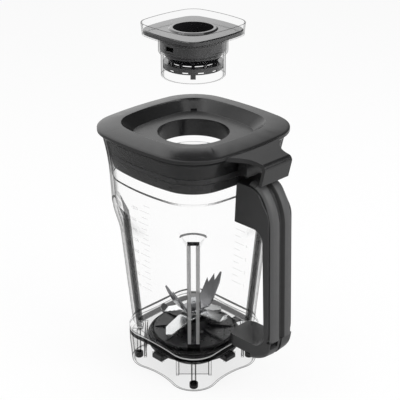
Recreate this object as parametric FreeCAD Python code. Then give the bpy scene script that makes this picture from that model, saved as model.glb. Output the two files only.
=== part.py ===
import FreeCAD, Part
import math
import os

# Jar of a countertop blender, standing with its lid on and its vent cap held up over the lid.
# Millimetres, +Z up. The origin is the centre of the skirt's foot, on the drive axis.
# The handle is on +X and the jar's four corners lie on the diagonals.
# A rounded square is given by three sizes: "tip", from the axis to a corner, "flat", from the
# axis to the middle of a side, and "corner", the radius that rounds the corner.

V = FreeCAD.Vector
ORIGIN = V(0, 0, 0)
UP = V(0, 0, 1)

# General clearances
seat_gap = 0.2
loose_gap = 0.3
press_gap = 0.02
running_gap = 0.05
overrun = 5.0  # how far a cutting shape runs past the face that it cuts

# Jar heights
skirt_height = 43.0
skirt_shoulder = 7.0
floor_bottom = 34.0
floor_thickness = 4.0
taper_top = 155.0
shoulder_top = 191.0
ledge_z = 219.0
rim_z = 262.0

# Jar sections as (tip, flat, corner)
foot_section = (67.3, 51.3, 26.0)
waist_section = (69.3, 54.0, 27.0)
skirt_section = (69.4, 56.2, 28.0)
base_section = (64.8, 54.5, 27.0)
taper_section = (75.5, 65.0, 36.0)
shoulder_section = (83.2, 73.5, 42.0)
ledge_section = (84.5, 74.5, 42.0)
rim_section = (91.0, 79.0, 44.0)
waist_z = 25.0
blend_steps = 7

# Jar walls and floor
jar_wall = 3.0
rim_wall = 2.2
skirt_wall = 2.5
floor_chamfer = 4.0
floor_opening_r = 44.0

# Corner flutes: channels folded into the jar, open to the outside
flute_width = 13.0
flute_side = 4.0
flute_nose = 6.0
flute_roof = 1.0
flute_top_d = 66.3
flute_top_z = 172.6
flute_low_d = 54.4
ramp_rise = 1.6
groove_rise = 1.66
flute_foot = 3.0
scoop_half = 16.0
scoop_wall = 3.5
scoop_dip = 5.5

# Posts and pocket ribs under the floor
post_width = 4.6
post_inner_d = 57.5
rib_d = 52.0
rib_half_span = 17.0
rib_size = 3.0
rib_web = 1.5
rib_foot_z = 10.0
rib_web_z = 11.0

# Corner feet
foot_r = 4.5
foot_d = 59.8
foot_height = 6.0
foot_round = 1.6

# Handle
handle_half_top = 17.0
handle_half_low = 19.0
shelf_top = 236.0
shelf_bottom = 193.5
handle_foot_top = 67.0
handle_foot_bottom = 54.5
handle_inner_low_x = 113.0
handle_inner_top_x = 110.0
handle_inner_low_r = 14.0
handle_inner_top_r = 12.0
handle_outer_low_x = 120.5
handle_outer_top_x = 115.8
handle_brow_depth = 14.6
handle_brow_drop = 1.2
handle_brow_height = 25.0
handle_brow_r = 18.0
handle_neck_r = 26.0
handle_bend_r = 32.0
handle_root_depth = 20.0
handle_arm_x = 65.5
handle_arm_round = 10.0
handle_arm_end_z = 100.0
boss_half = 6.0
boss_reach = 9.0
stub_half = 12.0
stub_inset = 1.5
upper_boss_z = (204.0, 228.0)
lower_boss_z = (58.0, 63.5)
grip_thick = 7.5
grip_groove = 3.0
grip_groove_depth = 2.5
grip_round = 4.5
grip_lip = 0.7
grip_crown = 1.2
grip_start_x = 97.0
grip_end_z = 76.0
chin_overlap = 1.0
chin_pocket_angle = 22.0
chin_pocket_half = 4.6
chin_pocket_y = (-16.0, -4.5)
chin_pocket_floor = 0.8
chin_pocket_round = 2.0
screw_head_r = 3.6
screw_shank_r = 1.8
screw_length = 10.0
screw_head_height = 2.0
screw_slot_width = 1.0
screw_slot_depth = 0.8

# Lid
lid_edge_section = (95.5, 83.0, 46.0)
lid_under_section = (91.8, 79.8, 44.0)
lid_top_section = (92.5, 80.5, 45.0)
well_edge_section = (71.5, 62.5, 33.0)
well_floor_section = (59.5, 51.0, 24.0)
lid_edge_low = 265.3
lid_edge_high = 268.3
lid_top_z = 269.6
lid_crown_z = 272.5
well_floor_z = 262.3
lid_skin = 2.6
well_lip = 1.5
well_lip_drop = 1.5
well_lip_inset = 1.2
tube_r = 36.0
tube_wall = 2.6
tube_bottom_z = 244.0
plug_gap = 1.2
plug_step = 3.0
plug_step_z = 245.3
plug_end_z = 231.6
well_notch_half = 3.3
well_notch_height = 3.6
well_notch_depth = 2.2

# Hood of the lid over the top of the handle
hood_root_half = 38.0
hood_root_depth = 4.0
hood_half = 18.8
hood_neck_x = 97.0
hood_fillet = 22.0
hood_edge_x = 113.6
hood_edge_z = 262.4
hood_lip_x = 108.4
hood_lip_z = 240.5
hood_plate = 3.6
hood_edge_plate = 4.5
hood_root_plate = 4.6
hood_root_inset = 8.0
hood_root_rise = 0.5
hood_block_x = 88.0
hood_block_z = 243.5
hood_block_half = 17.0

# Sealing ring on the lid's plug
gasket_bead_height = 5.2
gasket_bead = 0.4
gasket_end_z = 229.0
gasket_lip = 4.5
gasket_end_bead = 1.2
gasket_bead_root = 1.0

# Vent cap, drawn from the underside of its flange, and how high it is held up
cap_raise = 98.4
cap_section_low = (48.9, 41.5, 17.5)
cap_section_high = (50.0, 42.5, 18.0)
cap_height = 12.0
cap_wall = 1.0
cap_floor = 1.0
cap_gap = 0.1
drum_r = 33.7
drum_height = 18.0
drum_wall = 1.6
drum_floor = 1.2
drum_round = 3.0
cup_r = 31.3
cup_height = 40.0
cup_wall = 1.8

# Dark insert of the vent cap
insert_plate_top = 5.5
insert_chamfer = 1.0
insert_skin = 1.6
insert_wall = 2.0
insert_shelf_z = -14.5
insert_collar_r = 24.5
insert_collar_slope = 2.2
insert_collar_round = 1.5
insert_collar_height = 1.4
insert_collar_root = 0.5
hand_hole_r = 19.6
hand_hole_depth = 9.0
tier_top_r = 28.2
tier_low_r = 24.0
tier_bend_z = -19.0
tier_low_z = -24.6
tier_round = 3.0
insert_spokes = 6
insert_spoke = 2.4
insert_spoke_height = 4.0
insert_hub_r = 5.0
panel_half = 8.0
panel_z = (-12.8, -5.0)
panel_depth = 0.7
window_half = 5.0
window_z = (-11.0, -6.8)

# Slotted ring of the vent cap
ring_top_z = -26.0
ring_low_z = -31.8
ring_wall = 1.8
ring_web = 1.2
ring_inner_r = 22.0
ring_legs = 12
ring_leg_half = 1.6
ring_slot_half = 3.0
ring_slot_z = (-31.2, -29.6)
ring_tab_width = 5.0
ring_tab_wall = 2.2
ring_tab_drop = 4.2

# Blade base
carrier_flange_r = 49.5
carrier_flange = 3.5
seal_thickness = 2.0
seal_inner_r = 44.8
seal_outer_r = 48.5
carrier_floor = 3.0
tower_r = 16.0
tower_top_r = 13.5
tower_top_z = 50.0
tower_bottom_z = 16.5
tower_shoulder = 1.5
tower_fillet = 4.0
carrier_round = 1.5
carrier_inner_round = 2.0
hollow_gap = 0.5
carrier_ribs = 8
carrier_rib_width = 2.2
carrier_rib_height = 4.0
carrier_rib_end = 1.0
carrier_rib_inset = 2.0
carrier_rib_root = 1.0
retainer_inner_r = 40.0
retainer_outer_r = 49.4
retainer_height = 4.6
ring_grips = 12
ring_grip_half = 2.0
ring_grip_reach = 3.0
ring_grip_drop = 1.0
lug_root = 4.0
lug_round = 1.0
lug_chamfer = (2.5, 1.5)
lug_width = 13.0
lug_reach = 55.4
lug_drop = 2.0
lug_height = 6.0
lug_window_gap = 0.5

# Bearings, shaft and coupler
bearing_r = 11.0
bearing_bore_r = 4.0
bearing_height = 7.0
bearing_inner_r = 6.0
bearing_outer_in_r = 9.0
ball_r = 1.9
ball_count = 7
lower_bearing_z = 19.0
upper_bearing_z = 35.0
bearing_spacer_r = 5.8
shaft_seal_height = 5.0
shaft_seal_lip_z = (1.5, 2.5)
shaft_seal_lip = 1.2
shaft_seal_round = 0.5
circlip_height = 1.2
circlip_groove = 0.8
circlip_play = 0.1
circlip_reach = 1.6
circlip_gap = 5.0
shaft_collar_r = 5.8
shaft_top_z = 71.0
coupler_r = 11.0
coupler_z = 3.0
coupler_height = 12.6
coupler_nose = (2.0, 3.0)
coupler_round = 1.0
socket_r = 5.6
socket_depth = 8.0
spline_count = 8
spline_size = 1.0
spline_width = 0.8
shaft_chamfer = 0.8

# Blade stack on the shaft
blade_thick = 2.0
blade_hub_r = 9.5
stack_z = 52.6
spacer_height = 2.6
spacer_r = 7.0
washer_r = 7.5
washer_height = 1.2
nut_across = 13.0
nut_height = 5.5
nut_chamfer = (0.4, 1.0)

# Blade arms: the bend as (r, z) and the plan outline as (x, y), both from the drive axis
lower_path = [(0, 0), (14, 0), (41, -9)]
lower_outline = [(0, -8.5), (16, -8.5), (34, -8), (41.5, 0), (38, 6), (16, 8), (0, 8.5)]
lower_heading = 90.0
middle_path = [(0, 0), (13, 0), (32, -6), (38.5, -1)]
middle_front = [(0, -8.5), (16, -7.5), (36, -5), (39, 0), (36.5, 5)]
middle_back = [(0, 8.5)]
middle_saw = (33.0, 14.0, 7.5)
middle_teeth = 4
middle_tooth_depth = 2.0
middle_heading = 25.0
tooth_share = 0.85
upper_path = [(0, 0), (13, 0), (20, 9), (33.5, 33.8)]
upper_outline = [(0, -8.5), (16, -10), (28, -9), (33.5, -5.5), (26.5, -2), (29.5, 2.5), (24, 5.5),
                 (25.8, 10), (16, 10), (0, 8.5)]
upper_heading = 82.6


def rounded_square(z, section):
    """Closed wire of eight tangent arcs. The sides bulge or dip to pass through "flat"."""
    tip, flat, corner = section
    centre = (tip - corner) / math.sqrt(2)
    excess = centre + corner - flat
    straight = abs(excess) < 1e-3
    if straight:
        tangent = V(flat, centre, z)
    else:
        side_r = (corner ** 2 - centre ** 2 - (centre - flat) ** 2) / (2 * excess)
        side_centre = V(flat - side_r, 0, z)
        towards = (V(centre, centre, z) - side_centre).normalize()
        tangent = side_centre + towards * abs(side_r)
    edges = []
    for quarter in range(4):
        turn = FreeCAD.Rotation(UP, 90 * quarter)
        low = turn.multVec(V(tangent.x, -tangent.y, z))
        middle = turn.multVec(V(flat, 0, z))
        high = turn.multVec(tangent)
        point = turn.multVec(V(tip / math.sqrt(2), tip / math.sqrt(2), z))
        after = turn.multVec(V(tangent.y, tangent.x, z))
        if straight:
            edges.append(Part.LineSegment(low, high).toShape())
        else:
            edges.append(Part.Arc(low, middle, high).toShape())
        edges.append(Part.Arc(high, point, after).toShape())
    return Part.Wire(edges)


def inset(section, wall):
    """The same rounded square moved inwards by a wall thickness."""
    return tuple(size - wall for size in section)


def loft(levels):
    """Solid with straight walls between rounded squares, given as (z, section) pairs."""
    return Part.makeLoft([rounded_square(z, section) for z, section in levels], True, True)


def mix(first, second, share):
    """Section part of the way from one section to another."""
    return tuple(a + (b - a) * share for a, b in zip(first, second))


def corner_arc(points, index):
    """Start, middle, end and centre of the arc that rounds one (x, z, radius) corner."""
    x, z, radius = points[index]
    here = V(x, 0, z)
    before = points[index - 1]
    after = points[(index + 1) % len(points)]
    back = (V(before[0], 0, before[1]) - here).normalize()
    onward = (V(after[0], 0, after[1]) - here).normalize()
    if radius == 0:
        return here, here, here, here
    half = back.getAngle(onward) / 2
    run = radius / math.tan(half)
    centre = here + (back + onward).normalize() * (radius / math.sin(half))
    middle = centre + (here - centre).normalize() * radius
    return here + back * run, middle, here + onward * run, centre


def rounded_edges(points, closed):
    """Lines and arcs through (x, z, radius) corners in the XZ plane."""
    arcs = [corner_arc(points, index) for index in range(len(points))]
    if not closed:
        for index in (0, -1):
            end = V(points[index][0], 0, points[index][1])
            arcs[index] = (end, end, end, end)
    edges = []
    for index, (start, middle, end, centre) in enumerate(arcs):
        if (end - start).Length > 1e-6:
            edges.append(Part.Arc(start, middle, end).toShape())
        if index == len(arcs) - 1 and not closed:
            break
        following = arcs[(index + 1) % len(arcs)][0]
        if (following - end).Length > 1e-6:
            edges.append(Part.LineSegment(end, following).toShape())
    return edges


def rounded_profile(points):
    """Face in the XZ plane from (x, z, radius) corners, each rounded to its radius."""
    return Part.Face(Part.Wire(rounded_edges(points, True)))


def slab(points, half_width):
    """XZ profile given a thickness of half_width to each side of y = 0."""
    face = rounded_profile(points)
    face.translate(V(0, -half_width, 0))
    return face.extrude(V(0, 2 * half_width, 0))


def turned(points):
    """Solid of revolution about the axis, from (r, z, radius) corners."""
    return rounded_profile(points).revolve(ORIGIN, UP, 360)


def ring(inner, outer, low, high):
    """Plain ring about the axis."""
    body = Part.makeCylinder(outer, high - low, V(0, 0, low))
    return body.cut(Part.makeCylinder(inner, high - low, V(0, 0, low)))


def box(x, y, z):
    """Box from three (low, high) pairs."""
    return Part.makeBox(x[1] - x[0], y[1] - y[0], z[1] - z[0], V(x[0], y[0], z[0]))


def rotated(shape, degrees):
    """Copy of a shape turned about the axis."""
    copy = shape.copy()
    copy.rotate(ORIGIN, UP, degrees)
    return copy


def four_corners(shape):
    """Copies of a shape drawn along +X, one for each corner of the jar."""
    return [rotated(shape, 45 + 90 * quarter) for quarter in range(4)]


def body_section(z):
    """Outer section of the jar's wall at a height between its floor and its rim."""
    floor_top = floor_bottom + floor_thickness
    if z <= taper_top:
        return mix(base_section, taper_section, (z - floor_top) / (taper_top - floor_top))
    if z >= ledge_z:
        share = (z - ledge_z) / (rim_z - ledge_z)
        pitch = (rim_z - ledge_z) / (ledge_z - shoulder_top)
        start = tuple((b - a) * pitch for a, b in zip(shoulder_section, ledge_section))
        return tuple(b + s * share + (c - b - s) * share ** 2
                     for b, s, c in zip(ledge_section, start, rim_section))
    if z >= shoulder_top:
        return mix(shoulder_section, ledge_section, (z - shoulder_top) / (ledge_z - shoulder_top))
    span = shoulder_top - taper_top
    share = (z - taper_top) / span
    low_pitch = span / (taper_top - floor_top)
    high_pitch = span / (ledge_z - shoulder_top)
    result = []
    for a, b, c, d in zip(base_section, taper_section, shoulder_section, ledge_section):
        low_slope = (b - a) * low_pitch
        high_slope = (d - c) * high_pitch
        value = b * (2 * share ** 3 - 3 * share ** 2 + 1)
        value += low_slope * (share ** 3 - 2 * share ** 2 + share)
        value += c * (3 * share ** 2 - 2 * share ** 3)
        value += high_slope * (share ** 3 - share ** 2)
        result.append(value)
    return tuple(result)


def wall_heights(low, high):
    """Heights at which the wall between low and high needs a section."""
    heights = [low]
    for start, end in ((taper_top, shoulder_top), (ledge_z, rim_z)):
        heights += [start + (end - start) * step / blend_steps for step in range(blend_steps + 1)]
    inside = [z for z in heights if low < z < high]
    return [low] + inside + [high]


def wall_levels(low, high, wall):
    """Levels of the jar's wall, moved inwards by a wall thickness."""
    return [(z, inset(body_section(z), wall)) for z in wall_heights(low, high)]


def skirt_levels(wall):
    """Levels of the skirt under the jar, moved inwards by a wall thickness."""
    sections = ((0.0, foot_section), (waist_z, waist_section), (skirt_height, skirt_section))
    return [(z, inset(section, wall)) for z, section in sections]


def jar_outside(growth=0.0):
    """Everything inside the jar's outer surface, as one solid."""
    shoulder_end = skirt_height + skirt_shoulder
    skirt = loft(skirt_levels(-growth) + [(shoulder_end, inset(body_section(shoulder_end), -growth))])
    return skirt.fuse(loft(wall_levels(shoulder_end, rim_z, -growth)))


def jar_cavity():
    """The space inside the jar, with its chamfered floor edge and the step at the ledge."""
    floor_top = floor_bottom + floor_thickness
    lower = [(floor_top, inset(body_section(floor_top), jar_wall + floor_chamfer))]
    lower += wall_levels(floor_top + floor_chamfer, ledge_z, jar_wall)
    upper = wall_levels(ledge_z, rim_z, rim_wall)
    return loft(lower).fuse(loft(upper))


def skirt_cavity():
    """The space under the floor, inside the skirt."""
    share = (floor_bottom - waist_z) / (skirt_height - waist_z)
    levels = skirt_levels(skirt_wall)[:2]
    levels.append((floor_bottom, inset(mix(waist_section, skirt_section, share), skirt_wall)))
    return loft(levels)


def polyhedron(corners, faces):
    """Solid with flat faces, each given as the numbers of its corners."""
    sides = [Part.Face(Part.makePolygon([corners[k] for k in face + face[:1]])) for face in faces]
    return Part.makeSolid(Part.makeShell(sides))


def scoop_side(throat, far_d, ramp_z, half, wide, low_z, side):
    """Wedge that widens the channel under its ramp, from the throat to beyond the wall."""
    throat_d, throat_z = throat
    corners = [V(throat_d, side * half, throat_z), V(far_d, side * half, ramp_z),
               V(far_d, side * wide, ramp_z), V(far_d, side * half, low_z)]
    return polyhedron(corners, [[0, 1, 2], [0, 2, 3], [0, 3, 1], [1, 3, 2]])


def scoop(throat, far_d, ramp_z, half, wide_at_wall, dip):
    """The two wedges beside a channel. Widths and dips are given where they meet the wall."""
    stretch = (far_d - throat[0]) / (shoulder_section[0] - throat[0])
    wide = half + (wide_at_wall - half) * stretch
    low_z = throat[1] - dip * stretch
    return [scoop_side(throat, far_d, ramp_z, half, wide, low_z, side) for side in (-1, 1)]


def flute():
    """One channel, drawn along +X, as its solids and the grooves that open it to the outside."""
    far_d = rim_section[0] + overrun
    low_z = floor_bottom
    ramp_z = flute_top_z + (far_d - flute_top_d) * ramp_rise
    half = flute_width / 2
    body = slab([(flute_top_d, flute_top_z, 0), (flute_low_d, low_z, 0),
                 (far_d, low_z, 0), (far_d, ramp_z, 0)], half)
    lean = (flute_top_d - flute_low_d) / (flute_top_z - low_z)
    groove_z = skirt_height + flute_foot
    groove_low_d = flute_low_d + flute_nose + lean * (groove_z - low_z)
    groove_top = (flute_top_d + flute_nose, flute_top_z - flute_roof)
    groove_ramp_z = groove_top[1] + (far_d - groove_top[0]) * groove_rise
    groove_half = half - flute_side
    groove = slab([groove_top + (0,), (groove_low_d, groove_z, 0),
                   (far_d, groove_z, 0), (far_d, groove_ramp_z, 0)], groove_half)
    solids = [body] + scoop((flute_top_d, flute_top_z), far_d, ramp_z, half,
                            scoop_half + scoop_wall, scoop_dip)
    grooves = [groove] + scoop(groove_top, far_d, groove_ramp_z, groove_half, scoop_half, 0.0)
    return solids, grooves


def pocket_ribs():
    """Post, two small ribs and the web between them, under one corner, drawn along +X."""
    post = box((post_inner_d, foot_section[0]), (-post_width / 2, post_width / 2),
               (foot_height, floor_bottom))
    web = box((rib_d - rib_web / 2, rib_d + rib_web / 2), (-rib_half_span, rib_half_span),
              (rib_web_z, floor_bottom))
    parts = [post, web]
    for side in (-1, 1):
        middle = side * rib_half_span
        parts.append(box((rib_d - rib_size / 2, rib_d + rib_size / 2),
                         (middle - rib_size / 2, middle + rib_size / 2),
                         (rib_foot_z, floor_bottom)))
    return parts


def lug_span():
    """Heights of the retaining ring's snap lugs."""
    top = floor_bottom - seal_thickness - carrier_flange - lug_drop
    return top - lug_height, top


def handle_bosses(growth=0.0):
    """Tongues on the jar's wall that the handle fits over."""
    bosses = []
    upper_face = body_section(upper_boss_z[0])[1]
    lower_face = body_section(lower_boss_z[0])[1]
    for (low, high), face, end in ((upper_boss_z, upper_face, upper_face + boss_reach),
                                   (lower_boss_z, lower_face, handle_arm_x + boss_reach)):
        bosses.append(box((face - jar_wall, end + growth), (-boss_half - growth, boss_half + growth),
                          (low - growth, high + growth)))
    return bosses


def handle_stub():
    """Block that carries the lower tongue from the jar's wall out to the end of the handle."""
    low, high = lower_boss_z
    return box((body_section(low)[1] - jar_wall, handle_arm_x - seat_gap), (-stub_half, stub_half),
               (low - stub_inset, high + stub_inset))


def make_jar_body():
    outside = jar_outside()
    body = outside.cut(jar_cavity()).cut(skirt_cavity())
    solids, grooves = flute()
    channels = []
    for solid in solids:
        channels += [copy.common(outside) for copy in four_corners(solid)]
    ribs = []
    for piece in pocket_ribs():
        ribs += [copy.common(outside) for copy in four_corners(piece)]
    bosses = [boss.cut(jar_cavity()) for boss in handle_bosses() + [handle_stub()]]
    body = body.multiFuse(channels + ribs + bosses)
    for groove in grooves:
        body = body.cut(four_corners(groove))
    body = body.cut(Part.makeCylinder(floor_opening_r, floor_thickness + 2 * overrun,
                                      V(0, 0, floor_bottom - overrun)))
    low, high = lug_span()
    half = lug_width / 2 + lug_window_gap
    window = box((retainer_inner_r, foot_section[0]), (-half, half),
                 (low - lug_window_gap, high + lug_window_gap))
    body = body.cut([rotated(window, 90 * side) for side in range(4)])
    return body.removeSplitter()


def make_corner_feet():
    foot = Part.makeCylinder(foot_r, foot_height, V(foot_d, 0, 0))
    foot = foot.makeFillet(foot_round, [edge for edge in foot.Edges if edge.BoundBox.ZMax < 0.01])
    return Part.makeCompound(four_corners(foot))


def handle_limits():
    """Wedge that tapers the handle's width from its foot to its top."""
    slope = (handle_half_top - handle_half_low) / (shelf_top - handle_foot_bottom)
    low_half = handle_half_low - slope * handle_foot_bottom
    high_half = low_half + slope * rim_z
    corners = [V(0, -low_half, 0), V(0, low_half, 0), V(0, high_half, rim_z), V(0, -high_half, rim_z)]
    face = Part.Face(Part.makePolygon(corners + corners[:1]))
    return face.extrude(V(handle_outer_low_x * 2, 0, 0))


def handle_outline():
    """Outline of the handle frame, seen from the side."""
    root = body_section(taper_top)[1] - handle_root_depth
    return [(root, shelf_top, 0),
            (handle_outer_top_x - handle_brow_depth, shelf_top - handle_brow_drop, handle_brow_r),
            (handle_outer_top_x, shelf_top - handle_brow_height, handle_neck_r),
            (handle_outer_low_x, handle_foot_bottom, handle_bend_r),
            (root, handle_foot_bottom, 0), (root, handle_foot_top, 0),
            (handle_inner_low_x, handle_foot_top, handle_inner_low_r),
            (handle_inner_top_x, shelf_bottom, handle_inner_top_r), (root, shelf_bottom, 0)]


def screw_places():
    """Point on the frame's outer face and outward direction for each of the two screws."""
    places = []
    for index in (1, 3):
        start, middle, end, centre = corner_arc(handle_outline(), index)
        places.append((middle, (middle - centre).normalize()))
    return places


def arm_end():
    """What is taken off the lower arm to leave it a rounded end, clear of the jar's wall."""
    far = handle_half_low * 2
    block = box((0, handle_arm_x + handle_arm_round), (-far, far),
                (handle_foot_bottom - overrun, handle_arm_end_z))
    kept = plan_prism([(handle_arm_x, -handle_half_low, handle_arm_round), (far * far, -handle_half_low, 0),
                       (far * far, handle_half_low, 0), (handle_arm_x, handle_half_low, handle_arm_round)],
                      handle_foot_bottom - overrun, handle_arm_end_z)
    return block.cut(kept)


def grip_section(start, along, bed):
    """Section of the grip with its centre groove, square to the frame's outer edge."""
    side = handle_half_low
    shoulder = grip_thick - grip_crown
    floor = grip_thick - grip_groove_depth
    half = grip_groove / 2
    points = [(-side, bed, 0), (-side, shoulder, grip_round), (-half, grip_thick, grip_lip),
              (-half, floor, 0), (half, floor, 0), (half, grip_thick, grip_lip),
              (side, shoulder, grip_round), (side, bed, 0)]
    wire = Part.Wire(rounded_edges(points, True))
    out = V(-along.z, 0, along.x)
    across = V(0, 1, 0)
    wire.Placement = FreeCAD.Placement(start, FreeCAD.Rotation(across, out.cross(across), out, "ZXY"))
    return wire


def outer_layer(bed, low, high):
    """Layer over the frame's outer edge between two heights, starting at a height above it."""
    outline = handle_outline()[:5]
    path = Part.Wire(rounded_edges(outline, False))
    first = V(outline[0][0], 0, outline[0][1])
    along = (V(outline[1][0], 0, outline[1][1]) - first).normalize()
    layer = path.makePipeShell([grip_section(first, along, bed)], True, False)
    far = handle_outer_low_x * 2
    layer = layer.common(handle_limits()).common(box((grip_start_x, far), (-far, far), (low, high)))
    for point, out in screw_places():
        layer = layer.cut(Part.makeCylinder(screw_head_r + seat_gap, grip_thick * 2, point - out, out))
    return layer


def chin_pocket():
    """Small pocket in the handle's chin, just under the end of the grip."""
    start, middle, end, centre = corner_arc(handle_outline(), 3)
    reach = handle_bend_r + grip_thick + overrun
    pocket = box((handle_bend_r + chin_pocket_floor, reach), chin_pocket_y,
                 (-chin_pocket_half, chin_pocket_half))
    along = [edge for edge in pocket.Edges if edge.BoundBox.XLength > 1]
    pocket = pocket.makeFillet(chin_pocket_round, along)
    pocket.rotate(ORIGIN, V(0, 1, 0), chin_pocket_angle)
    pocket.translate(centre)
    return pocket


def make_handle_frame():
    frame = slab(handle_outline(), handle_half_low * 2).common(handle_limits())
    frame = frame.cut(jar_outside(seat_gap)).cut(arm_end())
    chin = outer_layer(-chin_overlap, 0, grip_end_z - seat_gap).cut(chin_pocket())
    frame = frame.fuse(chin).cut(handle_bosses(seat_gap))
    holes = [Part.makeCylinder(screw_shank_r + press_gap, screw_length + overrun, point + out * overrun,
                               out * -1)
             for point, out in screw_places()]
    return frame.cut(holes).removeSplitter()


def make_handle_grip():
    return outer_layer(press_gap, grip_end_z, rim_z).removeSplitter()


def make_handle_screws():
    head = screw_head_r
    profile = [(0, screw_head_height, 0), (head, screw_head_height, 0.6), (head, press_gap, 0),
               (screw_shank_r, press_gap, 0), (screw_shank_r, -screw_length, 0.8), (0, -screw_length, 0)]
    screws = []
    for point, out in screw_places():
        screw = turned(profile)
        slot = box((-head, head), (-screw_slot_width / 2, screw_slot_width / 2),
                   (screw_head_height - screw_slot_depth, screw_head_height + overrun))
        cross = rotated(slot, 90)
        screw = screw.cut([slot, cross])
        screw.Placement = FreeCAD.Placement(point, FreeCAD.Rotation(UP, out))
        screws.append(screw)
    return Part.makeCompound(screws)


def plan_prism(points, low, high):
    """Plan outline of (x, y, radius) corners, raised between two heights."""
    face = rounded_profile(points)
    face.rotate(ORIGIN, V(1, 0, 0), -90)
    face.translate(V(0, 0, low))
    return face.extrude(V(0, 0, high - low))


def plug_section(z, gap):
    """Section of the lid's plug, a gap inside the jar's wall."""
    return inset(body_section(z), rim_wall + gap)


def hood():
    """Cover over the top of the handle, with the block that carries it beside the jar."""
    root_x = lid_edge_section[1] - hood_root_inset
    root_z = lid_edge_high + hood_root_rise
    inner_x = hood_edge_x - hood_edge_plate
    far_x = hood_edge_x + overrun
    profile = [(root_x, root_z, 0), (hood_edge_x, hood_edge_z, 5.0), (hood_lip_x, hood_lip_z, 1.2),
               (hood_lip_x - hood_plate, hood_lip_z, 1.2), (inner_x, hood_edge_z - hood_plate, 3.0),
               (root_x, root_z - hood_root_plate, 0)]
    flare_x = lid_edge_section[1] - hood_root_depth
    outline = [(root_x, -hood_root_half, 0), (flare_x, -hood_root_half, 0),
               (hood_neck_x, -hood_half, hood_fillet), (far_x, -hood_half, 0),
               (far_x, hood_half, 0), (hood_neck_x, hood_half, hood_fillet),
               (flare_x, hood_root_half, 0), (root_x, hood_root_half, 0)]
    plate = slab(profile, hood_root_half)
    block = box((root_x, hood_block_x), (-hood_block_half, hood_block_half),
                (hood_block_z, lid_edge_low))
    shape = plate.fuse(block).common(plan_prism(outline, hood_lip_z - overrun, lid_crown_z))
    return shape.cut(jar_outside(loose_gap))


def make_lid():
    crown = inset(well_edge_section, -well_lip)
    flange = loft([(rim_z, lid_under_section), (lid_edge_low, lid_edge_section),
                   (lid_edge_high, lid_edge_section), (lid_top_z, lid_top_section),
                   (lid_crown_z, crown)])
    rim_plug = plug_section(rim_z, plug_gap)
    step_plug = plug_section(plug_step_z, plug_gap)
    low_plug = inset(step_plug, plug_step)
    end_plug = plug_section(plug_end_z, plug_gap + plug_step)
    plug = loft([(plug_step_z, step_plug), (rim_z, rim_plug)])
    sleeve = loft([(plug_end_z, end_plug), (plug_step_z, low_plug)])
    rim_hollow = inset(rim_plug, lid_skin + plug_step)
    hollow = loft([(plug_end_z - overrun, inset(end_plug, lid_skin)),
                   (plug_step_z, inset(low_plug, lid_skin)),
                   (rim_z, rim_hollow),
                   (lid_top_z - lid_skin, inset(rim_hollow, plug_step)),
                   (lid_crown_z - lid_skin, crown)])
    lid = flange.multiFuse([plug, sleeve]).cut(hollow)
    bowl_low = inset(well_floor_section, -lid_skin)
    bowl = loft([(well_floor_z - lid_skin, bowl_low), (lid_crown_z, crown)])
    tube = Part.makeCylinder(tube_r + tube_wall, well_floor_z - tube_bottom_z, V(0, 0, tube_bottom_z))
    lid = lid.multiFuse([bowl, tube, hood()])
    well = loft([(well_floor_z, well_floor_section),
                 (lid_crown_z - well_lip_drop, inset(well_edge_section, well_lip_inset)),
                 (lid_crown_z, well_edge_section)])
    hole = Part.makeCylinder(tube_r, lid_crown_z - tube_bottom_z, V(0, 0, tube_bottom_z))
    back = well_floor_section[0]
    notch = box((back - overrun, back + well_notch_depth), (-well_notch_half, well_notch_half),
                (well_floor_z, well_floor_z + well_notch_height))
    return lid.cut([well, hole, rotated(notch, 135)]).removeSplitter()


def make_lid_gasket():
    bead_z = plug_step_z - gasket_bead_height
    bead = inset(body_section(bead_z), rim_wall + loose_gap)
    top = inset(body_section(plug_step_z), rim_wall + plug_gap - gasket_bead)
    neck = plug_section(bead_z, plug_gap + gasket_bead)
    end = plug_section(gasket_end_z, plug_gap + gasket_end_bead)
    outside = loft([(gasket_end_z, end), (bead_z - gasket_bead_root, neck), (bead_z, bead),
                    (plug_step_z, top)])
    inner_top = plug_section(plug_step_z, plug_gap + plug_step - press_gap)
    inner_end = plug_section(plug_end_z, plug_gap + plug_step - press_gap)
    inside = loft([(plug_end_z, inner_end), (plug_step_z, inner_top)])
    mouth_section = inset(end, gasket_lip)
    mouth = loft([(gasket_end_z - overrun, mouth_section), (plug_end_z, mouth_section)])
    return outside.cut([inside, mouth]).removeSplitter()


def cap_base():
    """Height of the underside of the cap's flange, held up over the lid."""
    return well_floor_z + loose_gap + cap_raise


def at_cap(shape):
    """Shape drawn from the cap's flange, moved to where the cap is held."""
    shape.translate(V(0, 0, cap_base()))
    return shape


def make_cap_cup():
    tray = loft([(0, cap_section_low), (cap_height, cap_section_high)])
    tray = tray.cut(loft([(cap_floor, inset(cap_section_low, cap_wall)),
                          (cap_height, inset(cap_section_high, cap_wall))]))
    drum = turned([(0, cap_floor, 0), (0, -drum_height, 0), (drum_r, -drum_height, drum_round),
                   (drum_r, cap_floor, 0)])
    cup = Part.makeCylinder(cup_r, cup_height, V(0, 0, -cup_height))
    bore_low = drum_floor - drum_height
    bore = turned([(0, overrun, 0), (0, bore_low, 0), (drum_r - drum_wall, bore_low, drum_round - drum_wall),
                   (drum_r - drum_wall, overrun, 0)])
    throat = Part.makeCylinder(cup_r - cup_wall, cup_height + 2 * overrun, V(0, 0, -cup_height - overrun))
    return at_cap(tray.multiFuse([drum, cup]).cut([bore, throat]).removeSplitter())


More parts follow.
